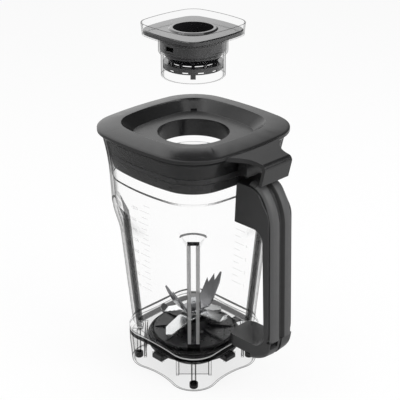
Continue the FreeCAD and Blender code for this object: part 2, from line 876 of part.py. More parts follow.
def insert_skirt():
    """Drum of the insert, with a shallow panel on each side and a window in two of them."""
    outer = drum_r - drum_wall - loose_gap
    skirt = ring(outer - insert_wall, outer, insert_shelf_z, cap_floor + insert_skin)
    panel = box((outer - panel_depth, outer + overrun), (-panel_half, panel_half), panel_z)
    window = box((outer - overrun, outer + overrun), (-window_half, window_half), window_z)
    skirt = skirt.cut([rotated(panel, 90 * side) for side in range(4)])
    return skirt.cut([rotated(window, 90), rotated(window, 270)])


def insert_tier():
    """Shelf under the drum and the narrower bowl-shaped tier that hangs from it."""
    outer = drum_r - drum_wall - loose_gap
    shelf_top = insert_shelf_z + insert_skin
    inner = tier_top_r - insert_wall
    shelf = ring(inner, outer, insert_shelf_z, shelf_top)
    wall = turned([(inner, shelf_top, 0), (tier_top_r, shelf_top, 0), (tier_top_r, tier_bend_z, tier_round),
                   (tier_low_r, tier_low_z, 0), (tier_low_r - insert_wall, tier_low_z, 0),
                   (inner, tier_bend_z, tier_round)])
    return shelf.fuse(wall)


def make_vent_insert():
    low = inset(cap_section_low, cap_wall + cap_gap)
    plate_low = cap_floor + cap_gap
    plate = loft([(plate_low, low), (insert_plate_top - insert_chamfer, low),
                  (insert_plate_top, inset(low, insert_chamfer))])
    collar_low = insert_plate_top - insert_collar_root
    collar_top = insert_plate_top + insert_collar_height
    collar = turned([(0, collar_low, 0), (insert_collar_r, collar_low, 0),
                     (insert_collar_r - insert_collar_slope, collar_top, insert_collar_round),
                     (0, collar_top, 0)])
    throat = ring(hand_hole_r, hand_hole_r + insert_wall, -hand_hole_depth, plate_low + insert_skin)
    hole = Part.makeCylinder(hand_hole_r, collar_top + overrun, V(0, 0, 0))
    shape = plate.multiFuse([collar, insert_skirt(), insert_tier()]).cut(hole).fuse(throat)
    spoke_top = insert_shelf_z + insert_spoke_height
    spoke = box((0, tier_top_r - insert_wall / 2), (-insert_spoke / 2, insert_spoke / 2),
                (insert_shelf_z, spoke_top))
    spokes = [rotated(spoke, 360 * index / insert_spokes) for index in range(insert_spokes)]
    hub = Part.makeCylinder(insert_hub_r, insert_spoke_height, V(0, 0, insert_shelf_z))
    return at_cap(shape.multiFuse(spokes + [hub]).removeSplitter())


def make_vent_ring():
    outer = cup_r - cup_wall - seat_gap
    sleeve = ring(outer - ring_wall, outer, ring_low_z, ring_top_z)
    web = ring(ring_inner_r, outer, ring_top_z - ring_web, ring_top_z)
    slot = box((outer - 2 * ring_wall, outer + overrun), (-ring_slot_half, ring_slot_half), ring_slot_z)
    turn = 360 / ring_legs
    slots = [rotated(slot, 45 + turn * (index + 0.5)) for index in range(ring_legs)]
    leg = box((ring_inner_r, tier_low_r), (-ring_leg_half, ring_leg_half),
              (ring_top_z, tier_low_z - press_gap))
    leg = leg.common(ring(ring_inner_r, tier_low_r, ring_top_z, tier_low_z))
    legs = [rotated(leg, 45 + turn * index) for index in range(ring_legs)]
    tab_low = ring_low_z - ring_tab_drop
    tab = box((outer - ring_tab_wall, outer), (-ring_tab_width / 2, ring_tab_width / 2),
              (tab_low, ring_top_z - ring_web))
    tab = tab.common(Part.makeCylinder(outer, -tab_low, V(0, 0, tab_low)))
    tabs = [rotated(tab, -45), rotated(tab, 135)]
    return at_cap(sleeve.fuse(web).cut(slots).multiFuse(legs + tabs).removeSplitter())


def flange_top():
    """Height of the top of the blade carrier's flange."""
    return floor_bottom - seal_thickness


def make_carrier_seal():
    return ring(seal_inner_r, seal_outer_r, flange_top(), floor_bottom)


def make_blade_carrier():
    top = floor_bottom + floor_thickness
    rim = flange_top()
    under = rim - carrier_flange
    dish_r = floor_opening_r - loose_gap
    hollow_r = retainer_inner_r + hollow_gap
    ceiling = top - carrier_floor
    soft = carrier_inner_round
    profile = [(bearing_r, tower_bottom_z, 0), (bearing_r, tower_top_z, 0), (tower_top_r, tower_top_z, 1.0),
               (tower_r, top, tower_fillet), (dish_r, top, carrier_round), (dish_r, rim, 0),
               (carrier_flange_r, rim, 0), (carrier_flange_r, under, 0), (hollow_r, under, 0),
               (hollow_r, ceiling, soft), (tower_r, ceiling, soft), (tower_r, tower_bottom_z, 0.5)]
    body = turned(profile)
    shoulder_low = lower_bearing_z + bearing_height
    shoulder = ring(bearing_r - tower_shoulder, (bearing_r + tower_top_r) / 2, shoulder_low,
                    upper_bearing_z)
    rib_low = top - carrier_rib_root
    rib_end_r = dish_r - carrier_rib_inset
    rib = slab([(tower_top_r, rib_low, 0), (rib_end_r, rib_low, 0), (rib_end_r, top + carrier_rib_end, 0),
                (tower_top_r, top + carrier_rib_height, 0)], carrier_rib_width / 2)
    ribs = [rotated(rib, 360 * index / carrier_ribs) for index in range(carrier_ribs)]
    body = body.multiFuse([shoulder] + ribs)
    groove_top = lower_bearing_z - seat_gap
    groove = ring(bearing_r - overrun, bearing_r + circlip_groove, groove_top - circlip_height, groove_top)
    return body.cut(groove).removeSplitter()


def make_retaining_ring():
    top = flange_top() - carrier_flange
    low, high = lug_span()
    body = ring(retainer_inner_r, retainer_outer_r, top - retainer_height, top)
    root_r = retainer_inner_r + lug_root
    lug = slab([(root_r, low, 0), (lug_reach, low, lug_round), (lug_reach, high - lug_chamfer[1], 0),
                (lug_reach - lug_chamfer[0], high, 0), (root_r, high, 0)], lug_width / 2)
    grip = box((retainer_inner_r - ring_grip_reach, root_r), (-ring_grip_half, ring_grip_half),
               (top - retainer_height, top - ring_grip_drop))
    lugs = [rotated(lug, 90 * side) for side in range(4)]
    grips = [rotated(grip, 45 + 360 * index / ring_grips) for index in range(ring_grips)]
    return body.multiFuse(lugs + grips).removeSplitter()


def bearing_track(low):
    """Torus that the balls of a bearing run in."""
    middle_r = (bearing_inner_r + bearing_outer_in_r) / 2
    return Part.makeTorus(middle_r, ball_r + running_gap, V(0, 0, low + bearing_height / 2))


def bearing_outer(low):
    body = ring(bearing_outer_in_r, bearing_r - press_gap, low, low + bearing_height)
    return body.cut(bearing_track(low))


def bearing_inner(low):
    body = ring(bearing_bore_r + press_gap, bearing_inner_r, low, low + bearing_height)
    return body.cut(bearing_track(low))


def bearing_balls(low):
    middle_r = (bearing_inner_r + bearing_outer_in_r) / 2
    ball = Part.makeSphere(ball_r, V(middle_r, 0, low + bearing_height / 2))
    return Part.makeCompound([rotated(ball, 360 * index / ball_count) for index in range(ball_count)])


def make_bearing_spacer():
    return ring(bearing_bore_r + press_gap, bearing_spacer_r, lower_bearing_z + bearing_height,
                upper_bearing_z)


def make_bearing_circlip():
    high = lower_bearing_z - seat_gap
    clip = ring(bearing_r - circlip_reach, bearing_r + circlip_groove - circlip_play,
                high - circlip_height + circlip_play, high - running_gap)
    opening = box((0, bearing_r * 2), (-circlip_gap / 2, circlip_gap / 2), (high - overrun, high + overrun))
    return clip.cut(opening)


def make_shaft_seal():
    low = upper_bearing_z + bearing_height
    high = low + shaft_seal_height
    inner = shaft_collar_r + running_gap
    outer = bearing_r - press_gap
    lip_low, lip_high = shaft_seal_lip_z
    return turned([(inner, low + lip_low, 0), (inner, low + lip_high, 0), (inner + shaft_seal_lip, high, 0),
                   (outer, high, shaft_seal_round), (outer, low, 0), (inner + shaft_seal_lip, low, 0)])


def make_drive_shaft():
    collar_low = upper_bearing_z + bearing_height
    foot = coupler_z + socket_depth
    return turned([(0, foot, 0), (bearing_bore_r, foot, 0), (bearing_bore_r, collar_low, 0),
                   (shaft_collar_r, collar_low, 0), (shaft_collar_r, stack_z, 0),
                   (bearing_bore_r, stack_z, 0), (bearing_bore_r, shaft_top_z, shaft_chamfer),
                   (0, shaft_top_z, 0)])


def make_drive_coupler():
    socket_top = coupler_z + socket_depth
    body_top = coupler_z + coupler_height
    bore = bearing_bore_r + press_gap
    soft = coupler_round
    body = turned([(socket_r, coupler_z, 0), (coupler_r - coupler_nose[0], coupler_z, soft),
                   (coupler_r, coupler_z + coupler_nose[1], soft),
                   (coupler_r, body_top, soft), (bearing_spacer_r, body_top, 0),
                   (bearing_spacer_r, lower_bearing_z, 0), (bore, lower_bearing_z, 0),
                   (bore, socket_top, 0), (socket_r, socket_top, 0)])
    spline = box((socket_r - spline_size, socket_r + spline_size), (-spline_width / 2, spline_width / 2),
                 (coupler_z - overrun, socket_top))
    splines = [rotated(spline, 360 * index / spline_count) for index in range(spline_count)]
    return body.cut(splines).removeSplitter()


def ribbon(path, thick, half_width):
    """Bent strip from a path of (r, z) points on its lower face, of even thickness."""
    upper = []
    for index, (x, z) in enumerate(path):
        before = path[max(index - 1, 0)]
        after = path[min(index + 1, len(path) - 1)]
        in_way = (V(x - before[0], 0, z - before[1])).normalize() if index else None
        out_way = (V(after[0] - x, 0, after[1] - z)).normalize() if index < len(path) - 1 else None
        ways = [way for way in (in_way, out_way) if way]
        mean = sum(ways[1:], ways[0]).normalize()
        stretch = 1 / max(mean.dot(ways[0]), 0.2)
        upper.append((x - mean.z * thick * stretch, z + mean.x * thick * stretch, 0))
    return slab([(x, z, 0) for x, z in path] + upper[::-1], half_width)


def make_blade(level, heading, path, outline):
    """Two-armed blade. The arm's path is bent from sheet and its plan outline is cut out."""
    low = stack_z + level * (blade_thick + spacer_height)
    reach = max(x for x, z in path)
    strip = ribbon([(x, low + z) for x, z in path], blade_thick, blade_hub_r * 2)
    cutter = plan_prism([(x, y, 0) for x, y in outline], low - reach, low + reach * 2)
    arm = strip.common(cutter)
    hub = Part.makeCylinder(blade_hub_r, blade_thick, V(0, 0, low))
    blade = hub.multiFuse([arm, rotated(arm, 180)])
    bore = Part.makeCylinder(bearing_bore_r + press_gap, blade_thick * 3, V(0, 0, low - blade_thick))
    return rotated(blade.cut(bore).removeSplitter(), heading)


def make_blade_lower():
    return make_blade(0, lower_heading, lower_path, lower_outline)


def saw_edge(start_x, end_x, y):
    """Points of a serrated edge from start_x to end_x."""
    step = (end_x - start_x) / middle_teeth
    points = []
    for index in range(middle_teeth):
        x = start_x + step * index
        points.append((x, y))
        points.append((x + step * tooth_share, y - middle_tooth_depth))
    return points


def make_blade_middle():
    outline = middle_front + saw_edge(*middle_saw) + middle_back
    return make_blade(1, middle_heading, middle_path, outline)


def make_blade_upper():
    return make_blade(2, upper_heading, upper_path, upper_outline)


def make_blade_spacers():
    rings = []
    for level in range(2):
        low = stack_z + level * (blade_thick + spacer_height) + blade_thick
        rings.append(ring(bearing_bore_r + press_gap, spacer_r, low, low + spacer_height))
    return Part.makeCompound(rings)


def stack_top():
    """Top face of the uppermost blade's hub."""
    return stack_z + 3 * blade_thick + 2 * spacer_height


def make_blade_washer():
    low = stack_top()
    return ring(bearing_bore_r + press_gap, washer_r, low, low + washer_height)


def make_blade_nut():
    low = stack_top() + washer_height
    across = nut_across / math.sqrt(3)
    corners = [V(across * math.cos(math.radians(60 * k)), across * math.sin(math.radians(60 * k)), low)
               for k in range(6)]
    body = Part.Face(Part.makePolygon(corners + corners[:1])).extrude(V(0, 0, nut_height))
    top = low + nut_height
    dome = turned([(0, low, 0), (across, low, 0), (across, top - nut_chamfer[1], 0),
                   (nut_across / 2 - nut_chamfer[0], top, 0), (0, top, 0)])
    bore = Part.makeCylinder(bearing_bore_r + press_gap, nut_height, V(0, 0, low))
    return body.common(dome).cut(bore)


pieces = {
    "jar_body": make_jar_body,
    "corner_feet": make_corner_feet,
    "handle_frame": make_handle_frame,
    "handle_grip": make_handle_grip,
    "handle_screws": make_handle_screws,
    "lid": make_lid,
    "lid_gasket": make_lid_gasket,
    "cap_cup": make_cap_cup,
    "vent_insert": make_vent_insert,
    "vent_ring": make_vent_ring,
    "carrier_seal": make_carrier_seal,
    "blade_carrier": make_blade_carrier,
    "retaining_ring": make_retaining_ring,
    "lower_bearing_outer": lambda: bearing_outer(lower_bearing_z),
    "lower_bearing_inner": lambda: bearing_inner(lower_bearing_z),
    "lower_bearing_balls": lambda: bearing_balls(lower_bearing_z),
    "upper_bearing_outer": lambda: bearing_outer(upper_bearing_z),
    "upper_bearing_inner": lambda: bearing_inner(upper_bearing_z),
    "upper_bearing_balls": lambda: bearing_balls(upper_bearing_z),
    "bearing_spacer": make_bearing_spacer,
    "bearing_circlip": make_bearing_circlip,
    "shaft_seal": make_shaft_seal,
    "drive_shaft": make_drive_shaft,
    "drive_coupler": make_drive_coupler,
    "blade_lower": make_blade_lower,
    "blade_middle": make_blade_middle,
    "blade_upper": make_blade_upper,
    "blade_spacers": make_blade_spacers,
    "blade_washer": make_blade_washer,
    "blade_nut": make_blade_nut,
}

os.makedirs("parts", exist_ok=True)
for name, make in pieces.items():
    shape = make()
    shape.exportStep("parts/" + name + ".step")
    print(name, len(shape.Solids), shape.isValid(), round(shape.Volume), flush=True)
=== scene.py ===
# %% [markdown]
# This file dresses the jar of a countertop blender. A clear moulded jar stands on its lobed skirt,
# a dark lid closes it, and a small clear vent cap is held up above the hole in the lid.
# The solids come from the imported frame, which gives every piece its true size and place. This
# script adds the finish: smooth rounded edges, see-through plastic, printed marks, light and camera.

# %% Load the frame
import math

import bmesh
import bpy
from mathutils import Matrix, Vector
from mathutils.bvhtree import BVHTree


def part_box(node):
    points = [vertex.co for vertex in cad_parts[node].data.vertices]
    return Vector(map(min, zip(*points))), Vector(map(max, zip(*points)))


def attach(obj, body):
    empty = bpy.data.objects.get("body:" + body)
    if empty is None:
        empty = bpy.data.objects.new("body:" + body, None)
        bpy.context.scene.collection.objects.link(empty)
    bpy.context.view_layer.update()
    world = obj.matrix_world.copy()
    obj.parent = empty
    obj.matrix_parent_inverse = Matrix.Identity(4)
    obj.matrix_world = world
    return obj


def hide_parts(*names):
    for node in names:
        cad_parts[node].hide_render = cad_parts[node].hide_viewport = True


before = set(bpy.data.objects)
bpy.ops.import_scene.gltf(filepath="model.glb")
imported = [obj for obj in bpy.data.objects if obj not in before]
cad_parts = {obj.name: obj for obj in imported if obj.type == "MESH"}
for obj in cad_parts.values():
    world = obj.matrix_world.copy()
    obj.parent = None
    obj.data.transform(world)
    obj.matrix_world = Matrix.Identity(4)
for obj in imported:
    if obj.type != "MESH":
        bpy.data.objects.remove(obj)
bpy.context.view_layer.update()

mm = 0.001

# %% [markdown]
# The camera comes first, because every later choice is judged through it. It stands at the front
# corner of the jar, looks a little down, and uses a long lens, as a product photograph does.
# Camera and target are moved aside together, which frames the jar off centre without a lens shift.

# %% Camera
camera_azimuth = math.radians(45)
camera_pitch = math.radians(24.4)
camera_distance = 1.092
camera_lens = 96.3
sensor_width = 36
farthest_seen = 30
aim_height = 187.2 * mm
aim_aside = 6.5 * mm


def look_from(azimuth, pitch, distance, target):
    """Place and turning of something that looks at a target from a direction."""
    away = Vector((math.sin(azimuth) * math.cos(pitch), -math.cos(azimuth) * math.cos(pitch),
                   math.sin(pitch)))
    turn = (-away).to_track_quat("-Z", "Y")
    return Matrix.Translation(target + away * distance) @ turn.to_matrix().to_4x4()


camera_data = bpy.data.cameras.new("camera")
camera_data.lens = camera_lens
camera_data.sensor_width = sensor_width
camera_data.clip_end = farthest_seen
camera = bpy.data.objects.new("camera", camera_data)
bpy.context.collection.objects.link(camera)
to_the_right = Vector((math.cos(camera_azimuth), math.sin(camera_azimuth), 0))
target = Vector((0, 0, aim_height)) + to_the_right * aim_aside
camera.matrix_world = look_from(camera_azimuth, camera_pitch, camera_distance, target)
bpy.context.scene.camera = camera
print("camera at", [round(v, 3) for v in camera.matrix_world.translation])

# %% [markdown]
# The studio is a pale floor under a white sky. What the camera sees of them is a plain white
# that gives no light of its own to the object, while soft lamps and a dimmer sky model its form.
# Gloss needs something to mirror, so mirrors see another studio. Its sky is white behind the jar,
# to the left and a little up, and dark elsewhere, and its floor grows paler to the right. Both are
# fixed in the room, and give dark plastic its form and steel its bright and dark plates.

# %% Studio
sky_level = 0.55
floor_size = 6.0
floor_glow = 0.86
paper_grey = 0.85
clear_layers = 64
sky_mirror = {"towards": (-0.9, 0.2, 0.35), "span": (0.55, 0.95), "levels": (0.06, 1.3)}
floor_mirror = {"towards": (0.8, 0.6, 0), "span": (-0.5, 1.0), "levels": (0.50, 0.86)}
scene = bpy.context.scene
scene.view_settings.view_transform = "Standard"
scene.cycles.transparent_max_bounces = clear_layers


def grey(level):
    """A neutral colour."""
    return (level, level, level, 1)


def ray_is(nodes, kind):
    """Value of 1 for rays of a kind, and 0 for others."""
    return nodes.new("ShaderNodeLightPath").outputs["Is " + kind + " Ray"]


def mixed(nodes, links, share, first, second):
    """Shader that goes from the first to the second as the share grows."""
    mix = nodes.new("ShaderNodeMixShader")
    links.new(share, mix.inputs[0])
    links.new(first, mix.inputs[1])
    links.new(second, mix.inputs[2])
    return mix.outputs[0]


def mirrored(nodes, links, plain, place, towards, span, levels):
    """Adds to a shader what mirrors see: a glow that grows along a direction in the room."""
    along = nodes.new("ShaderNodeVectorMath")
    along.operation = "DOT_PRODUCT"
    along.inputs[1].default_value = towards
    links.new(place, along.inputs[0])
    ranged = nodes.new("ShaderNodeMapRange")
    ranged.interpolation_type = "SMOOTHSTEP"
    for name, value in zip(("From Min", "From Max", "To Min", "To Max"), span + levels):
        ranged.inputs[name].default_value = value
    links.new(along.outputs["Value"], ranged.inputs["Value"])
    glow = nodes.new("ShaderNodeEmission")
    links.new(ranged.outputs["Result"], glow.inputs["Strength"])
    return mixed(nodes, links, ray_is(nodes, "Glossy"), plain, glow.outputs[0])


# The sky: a dim one that lights, a white one that is seen, and the mirrored one.
world = bpy.data.worlds.new("studio")
world.use_nodes = True
scene.world = world
nodes, links = world.node_tree.nodes, world.node_tree.links
nodes.clear()
dim = nodes.new("ShaderNodeBackground")
dim.inputs["Color"].default_value = grey(1)
dim.inputs["Strength"].default_value = sky_level
white = nodes.new("ShaderNodeBackground")
white.inputs["Color"].default_value = grey(1)
lit = mixed(nodes, links, ray_is(nodes, "Camera"), dim.outputs[0], white.outputs[0])
room = nodes.new("ShaderNodeTexCoord")
sky_out = nodes.new("ShaderNodeOutputWorld")
links.new(mirrored(nodes, links, lit, room.outputs["Generated"], **sky_mirror), sky_out.inputs[0])

# The floor: pale paper that takes soft shadows, with a glow of its own where it is seen.
floor_shape = bmesh.new()
bmesh.ops.create_grid(floor_shape, x_segments=1, y_segments=1, size=floor_size)
floor_mesh = bpy.data.meshes.new("floor")
floor_shape.to_mesh(floor_mesh)
floor_shape.free()
floor = bpy.data.objects.new("floor", floor_mesh)
bpy.context.collection.objects.link(floor)
floor_material = bpy.data.materials.new("floor")
floor_material.use_nodes = True
nodes, links = floor_material.node_tree.nodes, floor_material.node_tree.links
nodes.clear()
paper = nodes.new("ShaderNodeBsdfDiffuse")
paper.inputs["Color"].default_value = grey(paper_grey)
glow = nodes.new("ShaderNodeEmission")
share = nodes.new("ShaderNodeMath")
share.operation = "MULTIPLY"
share.inputs[1].default_value = floor_glow
links.new(ray_is(nodes, "Camera"), share.inputs[0])
lit = mixed(nodes, links, share.outputs[0], paper.outputs[0], glow.outputs[0])
room = nodes.new("ShaderNodeTexCoord")
floor_out = nodes.new("ShaderNodeOutputMaterial")
links.new(mirrored(nodes, links, lit, room.outputs["Object"], **floor_mirror), floor_out.inputs[0])
floor_mesh.materials.append(floor_material)

lamp_plan = {
    "key": {"azimuth": -25, "pitch": 48, "distance": 1.6, "size": 1.3, "watts": 9},
    "fill": {"azimuth": 110, "pitch": 35, "distance": 1.8, "size": 1.4, "watts": 20},
    "top": {"azimuth": 45, "pitch": 86, "distance": 1.7, "size": 1.5, "watts": 9},
}
for name, plan in lamp_plan.items():
    lamp_data = bpy.data.lights.new(name, "AREA")
    lamp_data.size = plan["size"]
    lamp_data.energy = plan["watts"]
    lamp = bpy.data.objects.new(name, lamp_data)
    bpy.context.collection.objects.link(lamp)
    lamp.matrix_world = look_from(math.radians(plan["azimuth"]), math.radians(plan["pitch"]),
                                  plan["distance"], Vector((0, 0, aim_height)))
print("studio: floor, sky and", len(lamp_plan), "soft lamps")

# %% [markdown]
# Moulded plastic is never one flat colour. Its skin has a fine grain from the mould, which breaks
# up the highlight, and its gloss wanders a little. Both come from noise on Object coordinates,
# so that they stay at the right scale on every piece.

# %% Plain materials
noise_low, noise_high = 0.3, 0.7
cloud_over_grain = 12
fine_detail = 3
gloss_wander = 0.12
grain_depth = 0.05 * mm
coat_roughness = 0.06


def new_material(name):
    """Empty node material with an output, and the two lists that build it."""
    material = bpy.data.materials.new(name)
    material.use_nodes = True
    tree = material.node_tree
    tree.nodes.clear()
    out = tree.nodes.new("ShaderNodeOutputMaterial")
    return material, tree.nodes, tree.links, out


def object_noise(nodes, links, scale, detail=2.0):
    """Noise on the piece's own coordinates, with a scale in waves for each metre."""
    place = nodes.new("ShaderNodeTexCoord")
    noise = nodes.new("ShaderNodeTexNoise")
    noise.inputs["Scale"].default_value = scale
    noise.inputs["Detail"].default_value = detail
    links.new(place.outputs["Object"], noise.inputs["Vector"])
    return noise.outputs["Fac"]


def spread(nodes, links, value, low, high):
    """The noise value spread between two numbers."""
    ranged = nodes.new("ShaderNodeMapRange")
    ranged.inputs["From Min"].default_value = noise_low
    ranged.inputs["From Max"].default_value = noise_high
    ranged.inputs["To Min"].default_value = low
    ranged.inputs["To Max"].default_value = high
    links.new(value, ranged.inputs["Value"])
    return ranged.outputs["Result"]


def moulded(name, colour, roughness, waves, grain, mottle, metal=0.0, specular=0.5, coat=0.0):
    """Solid moulded or ground surface with grain, a wandering gloss and a slight mottle."""
    material, nodes, links, out = new_material(name)
    skin = nodes.new("ShaderNodeBsdfPrincipled")
    skin.inputs["Metallic"].default_value = metal
    skin.inputs["Specular IOR Level"].default_value = specular
    cloud = object_noise(nodes, links, waves / cloud_over_grain)
    dull = spread(nodes, links, cloud, roughness * (1 - gloss_wander), roughness * (1 + gloss_wander))
    links.new(dull, skin.inputs["Roughness"])
    tone = nodes.new("ShaderNodeMix")
    tone.data_type = "RGBA"
    tone.inputs["A"].default_value = [c * (1 - mottle) for c in colour] + [1]
    tone.inputs["B"].default_value = [c * (1 + mottle) for c in colour] + [1]
    fine = object_noise(nodes, links, waves, fine_detail)
    links.new(fine, tone.inputs["Factor"])
    links.new(tone.outputs["Result"], skin.inputs["Base Color"])
    bump = nodes.new("ShaderNodeBump")
    bump.inputs["Strength"].default_value = grain
    bump.inputs["Distance"].default_value = grain_depth
    links.new(fine, bump.inputs["Height"])
    links.new(bump.outputs[0], skin.inputs["Normal"])
    skin.inputs["Coat Weight"].default_value = coat
    skin.inputs["Coat Roughness"].default_value = coat_roughness
    links.new(skin.outputs[0], out.inputs["Surface"])
    return material


lid_plastic = moulded("lid plastic", (0.011, 0.011, 0.0113), roughness=0.24, waves=900, grain=0.02,
                      mottle=0.05)
# A paler copy for the lid's bevels: a painted highlight along its edges.
lid_painted_highlight = moulded("lid painted highlight", (0.05, 0.05, 0.051), roughness=0.3, waves=900, grain=0.02, mottle=0.05)
handle_plastic = moulded("handle plastic", (0.022, 0.022, 0.0225), roughness=0.36, waves=900,
                         grain=0.03, mottle=0.05)
# A paler copy for the handle's bevels: a painted highlight along its edges.
handle_painted_highlight = moulded("handle painted highlight", (0.30, 0.30, 0.302), roughness=0.36, waves=900, grain=0.03,
                      mottle=0.05)
grip_rubber = moulded("grip rubber", (0.068, 0.068, 0.069), roughness=0.5, waves=1200, grain=0.04,
                      mottle=0.05)
# A darker copy of the grip rubber: painted shade for the valley between the cushions.
grip_painted_shade = moulded("grip painted shade", (0.012, 0.012, 0.012), roughness=0.5, waves=1200, grain=0.04,
                      mottle=0.05)
seal_rubber = moulded("seal rubber", (0.022, 0.022, 0.0225), roughness=0.3, waves=1500, grain=0.05,
                      mottle=0.12)
insert_plastic = moulded("vent insert plastic", (0.012, 0.012, 0.013), roughness=0.14, waves=700,
                         grain=0.01, mottle=0.05, specular=0.8, coat=0.6)
carrier_plastic = moulded("carrier plastic", (0.010, 0.010, 0.011), roughness=0.3, waves=2200,
                          grain=0.05, mottle=0.12)
foot_rubber = moulded("foot rubber", (0.015, 0.015, 0.015), roughness=0.5, waves=1800, grain=0.1,
                      mottle=0.12)
blade_steel = moulded("blade steel", (0.78, 0.79, 0.79), roughness=0.24, waves=900, grain=0.05,
                      mottle=0.05, metal=1.0)
# A darker copy of the blade steel: painted shade for the upper blade's arms.
painted_shade_steel = moulded("steel painted darker", (0.34, 0.34, 0.35), roughness=0.24, waves=900, grain=0.05,
                     mottle=0.05, metal=1.0)
shaft_steel = moulded("shaft steel", (0.45, 0.46, 0.47), roughness=0.26, waves=1200, grain=0.05,
                      mottle=0.06, metal=1.0)
bearing_steel = moulded("bearing steel", (0.6, 0.6, 0.62), roughness=0.12, waves=1200, grain=0.03,
                        mottle=0.04, metal=1.0)
print("solid materials ready")

# %% [markdown]
# Clear plastic could be a bending glass shader, but a thin wall hardly bends what is behind it,
# and light that bends through two dozen surfaces in a row needs very many samples. So each face
# lets light straight through, and its colour depends on how squarely it is seen. A wall darkens
# where it is seen edge on, since the eye then looks along the plastic instead of through it. A
# solid block, such as the side of a flute, is dark seen square on, and most thin lines of the
# moulding are dark seen at a slant.
# The nose of the near flute gathers the light of the room and shows as two grey bars, while the
# far one can hardly be seen. The near one is seen from within the plastic and the far one from
# within the jar, so their shader asks which side of the face is seen.

# %% Clear materials
slant_gloss = 0.35
gloss_power = 5.0
clear_roughness = 0.05


def back_side(nodes):
    """Value of 1 where a face is seen from behind."""
    return nodes.new("ShaderNodeNewGeometry").outputs["Backfacing"]


def clear(name, square, slant, start, end, seen="both"):
    """See-through plastic: its tint seen square on, and seen at a slant, and where it changes."""
    material, nodes, links, out = new_material(name)
    facing = nodes.new("ShaderNodeLayerWeight")
    links.new(nodes.new("ShaderNodeNewGeometry").outputs["True Normal"], facing.inputs["Normal"])
    ramp = nodes.new("ShaderNodeValToRGB")
    for element, position, level in zip(ramp.color_ramp.elements, (start, end), (square, slant)):
        element.position = position
        element.color = grey(level)
    links.new(facing.outputs["Facing"], ramp.inputs[0])
    tint = ramp.outputs[0]
    if seen != "both":
        choose = nodes.new("ShaderNodeMix")
        choose.data_type = "RGBA"
        plain, tinted = ("A", "B") if seen == "back" else ("B", "A")
        choose.inputs[plain].default_value = grey(1)
        links.new(tint, choose.inputs[tinted])
        links.new(back_side(nodes), choose.inputs["Factor"])
        tint = choose.outputs["Result"]
    through = nodes.new("ShaderNodeBsdfTransparent")
    links.new(tint, through.inputs["Color"])
    mirror = nodes.new("ShaderNodeBsdfGlossy")
    mirror.inputs["Roughness"].default_value = clear_roughness
    steep = nodes.new("ShaderNodeMath")
    steep.operation = "POWER"
    steep.inputs[1].default_value = gloss_power
    links.new(facing.outputs["Facing"], steep.inputs[0])
    gloss = nodes.new("ShaderNodeMapRange")
    gloss.inputs["To Max"].default_value = slant_gloss
    links.new(steep.outputs[0], gloss.inputs["Value"])
    skin = mixed(nodes, links, gloss.outputs["Result"], through.outputs[0], mirror.outputs[0])
    links.new(skin, out.inputs["Surface"])
    return material


def milky(name, level, share, seen="both"):
    """Plastic that gathers the room's light: a grey body with a little of what is behind it."""
    material, nodes, links, out = new_material(name)
    body = nodes.new("ShaderNodeBsdfDiffuse")
    body.inputs["Color"].default_value = grey(level)
    through = nodes.new("ShaderNodeBsdfTransparent")
    part = nodes.new("ShaderNodeMath")
    part.operation = "MULTIPLY"
    part.inputs[0].default_value = 1
    part.inputs[1].default_value = share
    if seen == "back":
        links.new(back_side(nodes), part.inputs[0])
    skin = mixed(nodes, links, part.outputs[0], through.outputs[0], body.outputs[0])
    links.new(skin, out.inputs["Surface"])
    return material


clear_wall = clear("clear wall", square=0.995, slant=0.42, start=0.56, end=0.84)
clear_scoop = clear("clear scoop", square=0.995, slant=0.9, start=0.56, end=0.84)
clear_mouth = clear("clear mouth", square=0.99, slant=0.12, start=0.55, end=0.82)
clear_skirt = clear("clear skirt", square=0.945, slant=0.15, start=0.66, end=0.95)
flute_bar = milky("flute bar", level=0.32, share=0.86, seen="back")
flute_block = clear("flute block", square=0.24, slant=0.95, start=0.40, end=0.75)
flute_cap = clear("flute cap", square=0.02, slant=0.9, start=0.45, end=0.85, seen="back")
flute_edge = clear("flute edge", square=0.6, slant=0.08, start=0.1, end=0.8, seen="back")
flute_arc = clear("flute arc", square=0.20, slant=0.20, start=0.3, end=0.8)
ledge_line = clear("ledge line", square=0.95, slant=0.10, start=0.14, end=0.34)
# The shoulder and floor lines are painted shade: dark bands laid on the outer wall where the shoulder
# and the floor's edge show through it.
shoulder_line = clear("shoulder line", square=0.12, slant=0.12, start=0.2, end=0.7, seen="back")
floor_line = clear("floor line", square=0.10, slant=0.10, start=0.20, end=0.33, seen="front")
floor_bevel = clear("floor bevel", square=0.14, slant=0.9, start=0.5, end=0.8)
# A pale strip of painted highlight, standing in for the bright room seen through the floor's edge.
painted_highlight_line = milky("painted highlight line", level=0.62, share=0.65)
foot_line = clear("foot line", square=0.34, slant=0.18, start=0.2, end=0.7)
post_plastic = clear("post plastic", square=0.97, slant=0.06, start=0.25, end=0.6)
clear_cap = clear("clear cap", square=0.99, slant=0.40, start=0.66, end=0.95)
edge_line = clear("edge line", square=0.6, slant=0.08, start=0.1, end=0.8)
scale_print = clear("scale print", square=0.70, slant=0.62, start=0.3, end=0.8)
print("clear materials ready")

# %% [markdown]
# A solid from the frame has exact sides but knife-sharp edges. Real mouldings have small rounds
# that catch the light. A copy of the node's mesh is welded, its sharp edges are bevelled with two
# segments, and it is shaded smooth with normals weighted by face size, so flat faces stay flat.

# %% Dressing a node
weld = 0.002 * mm
flat_turn = math.radians(0.4)
piece_crease, clear_crease, smooth_limit = math.radians(30), math.radians(35), math.radians(40)


def welded(node):
    """A bmesh with the node's triangles joined edge to edge."""
    shape = bmesh.new()
    shape.from_mesh(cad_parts[node].data)
    bmesh.ops.remove_doubles(shape, verts=shape.verts, dist=weld)
    bmesh.ops.dissolve_degenerate(shape, edges=shape.edges, dist=weld)
    return shape


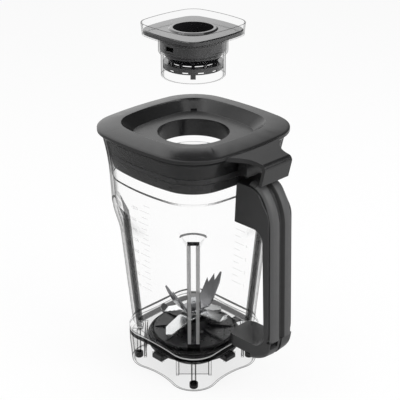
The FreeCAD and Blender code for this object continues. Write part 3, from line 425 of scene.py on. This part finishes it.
def flattened(shape):
    """The bmesh, with the triangles of each flat face joined."""
    bmesh.ops.dissolve_limit(shape, angle_limit=flat_turn, verts=shape.verts, edges=shape.edges)
    return shape


def creases(shape, angle):
    """Edges of a bmesh that turn by more than an angle."""
    return [edge for edge in shape.edges
            if len(edge.link_faces) == 2 and edge.calc_face_angle(0) > angle]


def bevelled(shape, edges, width, material=-1, clamp=True):
    """Bevels edges of a bmesh and gives the new faces."""
    made = bmesh.ops.bevel(shape, geom=edges, offset=width, offset_type="OFFSET", segments=2,
                           profile=0.5, affect="EDGES", clamp_overlap=clamp, material=material)
    return made["faces"]


def rounded(shape, width, material=-1, crease=piece_crease):
    """The bmesh with flat faces joined and sharp edges rounded."""
    flattened(shape)
    bevelled(shape, creases(shape, crease), width, material)
    return shape


def finished(shape, name, body, materials, stands_for=()):
    """Object from a bmesh: smooth, with weighted normals, riding on a body."""
    mesh = bpy.data.meshes.new(name)
    shape.normal_update()
    for face in shape.faces:
        face.smooth = True
    shape.to_mesh(mesh)
    shape.free()
    piece = bpy.data.objects.new(name, mesh)
    bpy.context.collection.objects.link(piece)
    for material in materials:
        mesh.materials.append(material)
    mesh.set_sharp_from_angle(angle=smooth_limit)
    weighted = piece.modifiers.new("weighted normals", "WEIGHTED_NORMAL")
    weighted.keep_sharp = True
    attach(piece, body)
    if stands_for:
        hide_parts(*stands_for)
    print(name, len(mesh.vertices), "points", len(mesh.polygons), "faces")


# %% [markdown]
# Most solid pieces need only that. Each row gives the body that the piece rides on, its material
# here, its material slot in the record, and the width of its rounded edges in millimetres. The
# upper blade gets a darker copy of the steel, painted shade, so that its upright arms stay dark.

# %% Solid pieces
dressing = {
    "lid_gasket": ("jar", seal_rubber, "seal_rubber", 0.3),
    "corner_feet": ("jar", foot_rubber, "foot_rubber", 0.3),
    "carrier_seal": ("jar", seal_rubber, "seal_rubber", 0.2),
    "blade_carrier": ("jar", carrier_plastic, "carrier_plastic", 0.35),
    "retaining_ring": ("jar", carrier_plastic, "carrier_plastic", 0.35),
    "vent_insert": ("cap", insert_plastic, "insert_plastic", 0.3),
    "vent_ring": ("cap", insert_plastic, "insert_plastic", 0.2),
    "blade_lower": ("rotor", blade_steel, "blade_steel", 0.25),
    "blade_middle": ("rotor", blade_steel, "blade_steel", 0.25),
    "blade_upper": ("rotor", painted_shade_steel, "blade_steel", 0.25),
    "blade_nut": ("rotor", shaft_steel, "shaft_steel", 0.3),
    "blade_washer": ("rotor", shaft_steel, "shaft_steel", 0.15),
    "drive_coupler": ("rotor", shaft_steel, "shaft_steel", 0.3),
}
for node, (body, material, slot, width) in dressing.items():
    finished(rounded(welded(node), width * mm), node + "_dressed", body, [material], [node])

# %% [markdown]
# The lid and the handle frame are moulded with crisp edges. Their bevels get a second, paler
# material, a painted highlight, because a narrow edge seldom faces a lamp and would else vanish.

# %% Lid
second_material = 1
lid_round = 0.6 * mm
finished(rounded(welded("lid"), lid_round, second_material), "lid_dressed", "jar",
         [lid_plastic, lid_painted_highlight], ["lid"])

# %% [markdown]
# The handle is a moulded post with a shelf above and a foot below, and a soft grip over its back.
# The frame's solid is a little stout beside the real one, so its copy is drawn in: every point
# moves along X between four lines that run up the post, and its width shrinks a little. The lines
# keep their order, so nothing crosses over. Each pair in brackets gives a size at the low and at
# the high end of a span of heights.

# %% Handle frame
foot_z, brow_z, shelf_z = 54.5 * mm, 211 * mm, 236 * mm
inner_z = (67 * mm, 193.5 * mm)
inner_old, inner_new = (113 * mm, 110 * mm), (115.3 * mm, 108.8 * mm)
bed_old, bed_new = (120.5 * mm, 115.8 * mm), (121.2 * mm, 115.8 * mm)
layer_old, layer_new = 7.5 * mm, 2.6 * mm
still_x = 92 * mm
half_old, half_new = (19 * mm, 17 * mm), (17.4 * mm, 16.6 * mm)
handle_round = 0.8 * mm


def between(value, span, ends):
    """Value between two ends, as far along as a value is in its span."""
    share = min(1, max(0, (value - span[0]) / (span[1] - span[0])))
    return ends[0] + (ends[1] - ends[0]) * share


def half_width(z, halves):
    """Half of the handle's width at a height."""
    return between(z, (foot_z, shelf_z), halves)


def slimmed(point):
    """Where a point of the stout handle goes on the slim one."""
    inner = [between(point.z, inner_z, ends) for ends in (inner_old, inner_new)]
    bed = [between(point.z, (foot_z, brow_z), ends) for ends in (bed_old, bed_new)]
    old = [still_x, inner[0], bed[0], bed[0] + layer_old]
    new = [still_x, inner[1], bed[1], bed[1] + layer_new]
    x = point.x
    if x > old[-1]:
        x += new[-1] - old[-1]
    for old_low, old_high, new_low, new_high in zip(old, old[1:], new, new[1:]):
        if old_low < point.x <= old_high:
            x = between(point.x, (old_low, old_high), (new_low, new_high))
    shrink = half_width(point.z, half_new) / half_width(point.z, half_old)
    return Vector((x, point.y * shrink, point.z))


handle = welded("handle_frame")
for vert in handle.verts:
    vert.co = slimmed(vert.co)
finished(rounded(handle, handle_round, second_material), "handle_frame_dressed", "jar",
         [handle_plastic, handle_painted_highlight], ["handle_frame"])

# %% [markdown]
# The screws follow the handle. The upper one is sunk a little more, under the thinner grip.

# %% Handle screws
screw_sink = Vector((-3.4 * mm, 0, -2.4 * mm))
screw_round = 0.15 * mm
screws = welded("handle_screws")
for vert in screws.verts:
    vert.co = slimmed(vert.co) + (screw_sink if vert.co.z > brow_z else Vector())
finished(rounded(screws, screw_round), "handle_screws_dressed", "jar", [shaft_steel],
         ["handle_screws"])

# %% [markdown]
# The grip is a strip of soft rubber with two cushions and a valley between them. Its section is one
# face, rounded at its corners, which is drawn along the handle's back: straight runs are extruded
# and the two bends are spun about their centres, as a piping bag would lay it down. The side of
# the section is listed from its edge to the valley, as the distance from the middle and the height
# over the handle's back, in millimetres.

# %% Grip
grip_half, cushion_edge = 14.6, 6.5
grip_side = [(grip_half, 0.25), (grip_half, 1.0), (grip_half - cushion_edge / 3, 2.88),
             (grip_half - cushion_edge, 3.6), (4.2, 3.24), (1.8, 1.6), (0.9, 0.8)]
grip_low = 1.0 * mm
grip_soft = 1.1 * mm
soft_segments = 3
valley_shade_half = 4.2 * mm
grip_start_x, grip_end_z = 97 * mm, 76.3 * mm
bend_steps = 10
back_line = [Vector((88 * mm, 0, 235.7 * mm)), Vector((101.2 * mm, 0, 234.8 * mm)),
             Vector((115.8 * mm, 0, 211 * mm)), Vector((121.2 * mm, 0, foot_z))]
back_radii = [0, 23 * mm, 54 * mm, 0]


def bend(index):
    """Start, centre and turn of the arc that rounds one corner of the back line."""
    before = (back_line[index] - back_line[index - 1]).normalized()
    after = (back_line[index + 1] - back_line[index]).normalized()
    turn = before.angle(after)
    start = back_line[index] - before * back_radii[index] * math.tan(turn / 2)
    inward = (after - before * after.dot(before)).normalized()
    return start, start + inward * back_radii[index], turn


first = (back_line[1] - back_line[0]).normalized()
outward = Vector((-first.z, 0, first.x))
begin = back_line[0] + first * ((grip_start_x - back_line[0].x) / first.x)
halves = [(across * mm, high * mm) for across, high in grip_side]
section = [(-across, high) for across, high in halves] + halves[::-1]
grip = bmesh.new()
ring = [grip.verts.new(begin + Vector((0, across, 0)) + outward * high) for across, high in section]
grip.faces.new(ring)
softened = [vert for vert, (across, high) in zip(ring, section) if high > grip_low]
bmesh.ops.bevel(grip, geom=softened, offset=grip_soft, offset_type="OFFSET", segments=soft_segments,
                profile=0.5, affect="VERTICES", clamp_overlap=True, material=-1)
front = grip.faces[:]
grip.normal_update()


def drawn_to(faces, move):
    """Extrudes the faces and moves the new end."""
    made = bmesh.ops.extrude_face_region(grip, geom=faces)["geom"]
    bmesh.ops.translate(grip, vec=move, verts=[v for v in made if isinstance(v, bmesh.types.BMVert)])
    return [f for f in made if isinstance(f, bmesh.types.BMFace)]


reached = begin
for index in (1, 2):
    start, centre, turn = bend(index)
    front = drawn_to(front, start - reached)
    spun = bmesh.ops.spin(grip, geom=front, cent=centre, axis=(0, 1, 0), angle=turn, steps=bend_steps)
    front = [f for f in spun["geom_last"] if isinstance(f, bmesh.types.BMFace)]
    reached = centre + Matrix.Rotation(turn, 3, "Y") @ (start - centre)
last = (back_line[3] - back_line[2]).normalized()
drawn_to(front, last * ((grip_end_z - reached.z) / last.z))
bmesh.ops.recalc_face_normals(grip, faces=grip.faces)
for vert in grip.verts:
    vert.co.y *= half_width(vert.co.z, half_new) / half_new[1]
# Faces near the middle get the darker copy: painted shade, where the deep groove would be in shadow.
for face in grip.faces:
    face.material_index = second_material if abs(face.calc_center_median().y) < valley_shade_half else 0
finished(grip, "handle_grip_dressed", "jar", [grip_rubber, grip_painted_shade],
         ["handle_grip"])

# %% [markdown]
# The pieces inside the blade carrier, and those hidden between the blades, are hardly seen. The
# frame's own meshes stay for them and only get their materials.

# %% Inner steel and seal
inner_materials = {
    "lower_bearing_outer": bearing_steel, "lower_bearing_inner": bearing_steel,
    "lower_bearing_balls": bearing_steel, "upper_bearing_outer": bearing_steel,
    "upper_bearing_inner": bearing_steel, "upper_bearing_balls": bearing_steel,
    "bearing_spacer": shaft_steel, "bearing_circlip": shaft_steel, "shaft_seal": seal_rubber,
    "drive_shaft": shaft_steel, "blade_spacers": shaft_steel,
}
for node, material in inner_materials.items():
    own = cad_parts[node].data
    own.materials.clear()
    own.materials.append(material)

# %% [markdown]
# The jar's clear moulding needs more care than a bevel. Its mesh is first cut along the lines
# where the look changes, such as the sides of the clear strip between two bars, or the levels of
# the floor. Then each face gets the clear material that its place and direction ask for. The sizes
# follow the solid: the floor and the bands of painted shade and highlight where its edge shows
# through the outer wall, the shoulder over the skirt, the ledge under the mouth, and the flute
# whose nose leans out as it rises.

# %% Jar sizes
skirt_top, foot_high = 43 * mm, 1.3 * mm
floor_low, floor_high, floor_edge = 34 * mm, 38 * mm, 42 * mm
line_low, line_high, light_high, second_high = 34.3 * mm, 39.4 * mm, 41 * mm, 41.8 * mm
shoulder_low, shoulder_high = 44.2 * mm, 47.2 * mm
ledge, ledge_low, mouth_low = 219 * mm, 216.7 * mm, 233 * mm
flute_half, groove_half, groove_clear, scoop_half = 6.5 * mm, 2.5 * mm, 3 * mm, 15 * mm
nose_foot, nose_top = Vector((54.4 * mm, 0, 34.0 * mm)), Vector((66.3 * mm, 0, 172.6 * mm))
nose_thick, scoop_lean = 6 * mm, 0.22
bar_foot, bar_top = 50 * mm, 168.2 * mm
arc_low, arc_half, arc_depth, arc_width = 183 * mm, 16.5 * mm, 12.5 * mm, 1.4 * mm
arc_turn_low, arc_turn_high = 20, 40
edge_round = 0.45 * mm
cut_exact = 0.01 * mm
corner_near, corner_half = 40 * mm, 20 * mm
sideways_margin, height_margin, flute_margin, nose_margin = 0.2 * mm, 0.3 * mm, 1 * mm, 0.5 * mm
square_on, slanting, upright, rising = 0.8, 0.6, 0.5, 0.3


def cut_level(shape, height):
    """Cuts every face of a bmesh that crosses a level."""
    geom = shape.verts[:] + shape.edges[:] + shape.faces[:]
    bmesh.ops.bisect_plane(shape, geom=geom, dist=cut_exact, plane_co=(0, 0, height),
                           plane_no=(0, 0, 1))


def corner_axes(quarter):
    """Outward and sideways directions of one corner of the jar."""
    turn = math.radians(45 + 90 * quarter)
    return Vector((math.cos(turn), math.sin(turn), 0)), Vector((-math.sin(turn), math.cos(turn), 0))


def nearest_corner(point):
    """Outward and sideways directions of the corner nearest to a point."""
    return corner_axes(math.floor(math.degrees(math.atan2(point.y, point.x)) / 90) % 4)


def nose_distance(z):
    """Distance from the axis to the nose of a flute at a height."""
    share = (z - nose_foot.z) / (nose_top.z - nose_foot.z)
    return nose_foot.x + (nose_top.x - nose_foot.x) * share


def corner_place(point):
    """How far a point is to the side of the nearest corner's middle, and outside its nose."""
    out, side = nearest_corner(point)
    return abs(point.dot(side)), point.dot(out) - nose_distance(point.z)


def cut_near(shape, point, normal, corner, low):
    """Cuts the faces around one corner, and above a height, along a plane."""
    out, side = corner
    faces = []
    for face in shape.faces:
        middle = face.calc_center_median()
        if middle.dot(out) > corner_near and abs(middle.dot(side)) < corner_half and middle.z > low:
            faces.append(face)
    edges = list(dict.fromkeys(edge for face in faces for edge in face.edges))
    verts = list(dict.fromkeys(vert for face in faces for vert in face.verts))
    bmesh.ops.bisect_plane(shape, geom=verts + edges + faces, dist=cut_exact, plane_co=point,
                           plane_no=normal)


# %% [markdown]
# The looks of the jar are listed by name, and their order is that of the piece's materials. A face
# gets the first look that suits it: those of a flute come first, then the bands and lines, and
# what is left is plain wall, skirt or mouth.

# %% Which look a face gets
jar_looks = {
    "wall": clear_wall, "skirt": clear_skirt, "bar": flute_bar, "block": flute_block,
    "cap": flute_cap, "ledge": ledge_line, "shoulder": shoulder_line, "floor line": floor_line,
    "floor bevel": floor_bevel, "edge": edge_line, "arc": flute_arc, "foot": foot_line,
    "light": painted_highlight_line, "scoop": clear_scoop, "mouth": clear_mouth, "flute edge": flute_edge,
}
look_number = {name: number for number, name in enumerate(jar_looks)}
# Painted bands on the outer wall: shade where the floor's edge and the shoulder show through, and a
# strip of painted highlight between the two floor bands.
outer_bands = [(line_low, line_high, "floor line"), (line_high, light_high, "light"),
               (light_high, second_high, "floor line"), (shoulder_low, shoulder_high, "shoulder")]


def flute_look(middle, normal):
    """Look of a face of one of the flutes, or None for a face elsewhere."""
    out, side = nearest_corner(middle)
    lateral, depth = corner_place(middle)
    in_flute = middle.z > floor_edge and lateral < flute_half + sideways_margin
    if in_flute and abs(depth) < nose_margin and normal.dot(out) < -square_on:
        if middle.z > bar_top:
            return "cap"
        if middle.z < bar_foot:
            return "block"
        return "bar" if lateral > groove_half else "wall"
    if middle.z > skirt_top and abs(normal.dot(side)) > slanting and lateral > groove_clear:
        leaning = nose_top.x + nose_thick + (middle.z - nose_top.z) * scoop_lean
        limit = nose_thick if middle.z < nose_top.z else leaning - nose_distance(middle.z)
        reach = flute_half + flute_margin if middle.z < bar_top else scoop_half
        if lateral < reach and depth < limit:
            return "block"
        if lateral < scoop_half and middle.z > bar_top:
            return "scoop"
    if skirt_top < middle.z < ledge_low and lateral < flute_half + flute_margin:
        return "scoop"
    return None


def jar_look(face):
    """Look of one face of the jar, by its place and direction."""
    middle, normal = face.calc_center_median(), face.normal
    look = flute_look(middle, normal)
    if look:
        return look
    inward = normal.dot(Vector((middle.x, middle.y, 0))) < 0
    if inward and ledge_low < middle.z < ledge + sideways_margin:
        return "ledge"
    if not inward and middle.z < foot_high and abs(normal.z) < upright:
        return "foot"
    for low, high, band in outer_bands:
        if not inward and low < middle.z < high:
            return band
    if inward and floor_high + height_margin < middle.z < floor_edge and normal.z > rising:
        return "floor bevel"
    if middle.z > mouth_low:
        return "mouth"
    return "skirt" if middle.z < skirt_top else "wall"


def edge_look(face):
    """Look of one face of a rounded edge."""
    middle = face.calc_center_median()
    if middle.z < floor_low:
        return "foot"
    lateral, depth = corner_place(middle)
    if lateral < scoop_half and floor_edge < middle.z < ledge:
        return "scoop" if middle.z > bar_top or depth > nose_thick / 2 else "flute edge"
    return "edge"


def on_arc(edge):
    """True for an edge of the curve above a flute, where its groove runs out into the wall."""
    middle = sum((vert.co for vert in edge.verts), Vector()) / 2
    lateral, depth = corner_place(middle)
    return (arc_low < middle.z < ledge and lateral < arc_half and depth > arc_depth
            and len(edge.link_faces) == 2
            and arc_turn_low < math.degrees(edge.calc_face_angle(0)) < arc_turn_high)


# %% [markdown]
# The levels are cut first, and then the flute of each corner. The arc over a flute is a bevel of
# its own. The other sharp edges are rounded last, and without a clamp, which would narrow them all
# to suit the shortest one.

# %% Clear jar
jar = flattened(welded("jar_body"))
for height in (foot_high, line_low, line_high, light_high, second_high, shoulder_low, shoulder_high,
               bar_foot, bar_top, nose_top.z, ledge_low, mouth_low):
    cut_level(jar, height)
slope = (nose_top - nose_foot).normalized()
for quarter in range(4):
    corner = corner_axes(quarter)
    out, side = corner
    for lateral in (-groove_half, groove_half):
        cut_near(jar, side * lateral, side, corner, skirt_top)
    block_back = out * (nose_top.x + nose_thick) + Vector((0, 0, nose_top.z))
    cut_near(jar, block_back, out * slope.z - Vector((0, 0, slope.x)), corner, skirt_top)
    cut_near(jar, block_back, out - Vector((0, 0, scoop_lean)), corner, nose_top.z)
jar.normal_update()
arcs = [edge for edge in jar.edges if on_arc(edge)]
arc_faces = bevelled(jar, arcs, arc_width, clamp=False)
jar.normal_update()
for face in jar.faces:
    face.material_index = look_number[jar_look(face)]
for face in arc_faces:
    face.material_index = look_number["arc"]
for face in bevelled(jar, creases(jar, clear_crease), edge_round, look_number["edge"], clamp=False):
    face.material_index = look_number[edge_look(face)]
finished(jar, "jar_dressed", "jar", list(jar_looks.values()), ["jar_body"])

# %% [markdown]
# A clear post stands over each rubber foot and holds it inside the skirt.

# %% Posts over the feet
post_r, post_foot, post_top, post_sides = 2.1 * mm, 5.5 * mm, 34 * mm, 20
foot_r = 4.5 * mm
foot_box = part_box("corner_feet")
foot_from_axis = (foot_box[1][0] - foot_r) * math.sqrt(2)
posts = bmesh.new()
for quarter in range(4):
    out = corner_axes(quarter)[0]
    place = Matrix.Translation(out * foot_from_axis + Vector((0, 0, (post_foot + post_top) / 2)))
    bmesh.ops.create_cone(posts, cap_ends=True, segments=post_sides, radius1=post_r, radius2=post_r,
                          depth=post_top - post_foot, matrix=place)
finished(posts, "foot_posts", "jar", [post_plastic])

# %% [markdown]
# The clear part of the vent cap is thin all over, so two looks are enough, one for its walls and
# one for its edges.

# %% Clear vent cap
cap_round = 0.35 * mm
cap = rounded(welded("cap_cup"), cap_round, second_material, clear_crease)
finished(cap, "cap_dressed", "cap", [clear_cap, edge_line], ["cap_cup"])

# %% [markdown]
# A measuring scale is printed on two walls in pale grey. Ticks and plain numbers are drawn flat,
# then every point is laid on the wall by casting a ray at it, because the wall leans and curves.
# The front column leans: each tick ends a little more to the right than the one below it.

# %% Printed scale
wall_shape = welded("jar_body")
wall = BVHTree.FromBMesh(wall_shape)
ray_start = 0.2
print_proud = 0.12 * mm
tick_width, short_tick, long_tick, tick_parts = 0.5 * mm, 8 * mm, 13.5 * mm, 4
number_size, number_gap, number_curve = 5.0 * mm, 3.0 * mm, 3
scale_drawing = bmesh.new()


def laid_on_wall(shape, away, x, z):
    """Lays a flat drawing on the wall that faces along Y, a hair proud of it, and keeps it."""
    for vert in shape.verts:
        place_x, place_z = x - vert.co.x * away, z + vert.co.y
        hit = wall.ray_cast(Vector((place_x, away * ray_start, place_z)), Vector((0, -away, 0)))[0]
        vert.co = (place_x, hit.y + away * print_proud, place_z)
    flat = bpy.data.meshes.new("flat")
    shape.to_mesh(flat)
    shape.free()
    scale_drawing.from_mesh(flat)
    bpy.data.meshes.remove(flat)


def tick(away, middle_x, z, length):
    """One tick of the scale."""
    shape = bmesh.new()
    bmesh.ops.create_grid(shape, x_segments=tick_parts, y_segments=1, size=0.5)
    bmesh.ops.scale(shape, vec=(length, tick_width, 1), verts=shape.verts)
    laid_on_wall(shape, away, middle_x, z)


def number(away, x, z, value):
    """One plain number of the scale, which ends at a place."""
    letters = bpy.data.curves.new("number", "FONT")
    letters.body = str(value)
    letters.size = number_size
    letters.align_x = "RIGHT"
    letters.align_y = "CENTER"
    letters.resolution_u = number_curve
    text_object = bpy.data.objects.new("number", letters)
    flat = bpy.data.meshes.new_from_object(text_object)
    shape = bmesh.new()
    shape.from_mesh(flat)
    laid_on_wall(shape, away, x, z)
    bpy.data.objects.remove(text_object)
    bpy.data.meshes.remove(flat)


front_low, front_step, front_count = 105.4 * mm, 13.55 * mm, 8
front_end_low, front_end_high = 0.8 * mm, 14.0 * mm
front_value, front_value_step = 400, 200
for index in range(front_count):
    z = front_low + index * front_step
    lean = (index / (front_count - 1)) ** 2
    end = front_end_low + (front_end_high - front_end_low) * lean
    tick(-1, end - long_tick / 2, z, long_tick)
    tick(-1, end - short_tick / 2, z + front_step / 2, short_tick)
    number(-1, end - long_tick - number_gap, z, front_value + front_value_step * index)
back_low, back_step, back_count, back_start = 72.2 * mm, 15.3 * mm, 5, 0.8 * mm
for index in range(back_count):
    z = back_low + index * back_step
    tick(1, back_start + long_tick / 2, z, long_tick)
    tick(1, back_start + short_tick / 2, z + back_step / 2, short_tick)
    number(1, back_start + long_tick + number_gap, z, index + 1)
wall_shape.free()
finished(scale_drawing, "scale_marks", "jar", [scale_print])
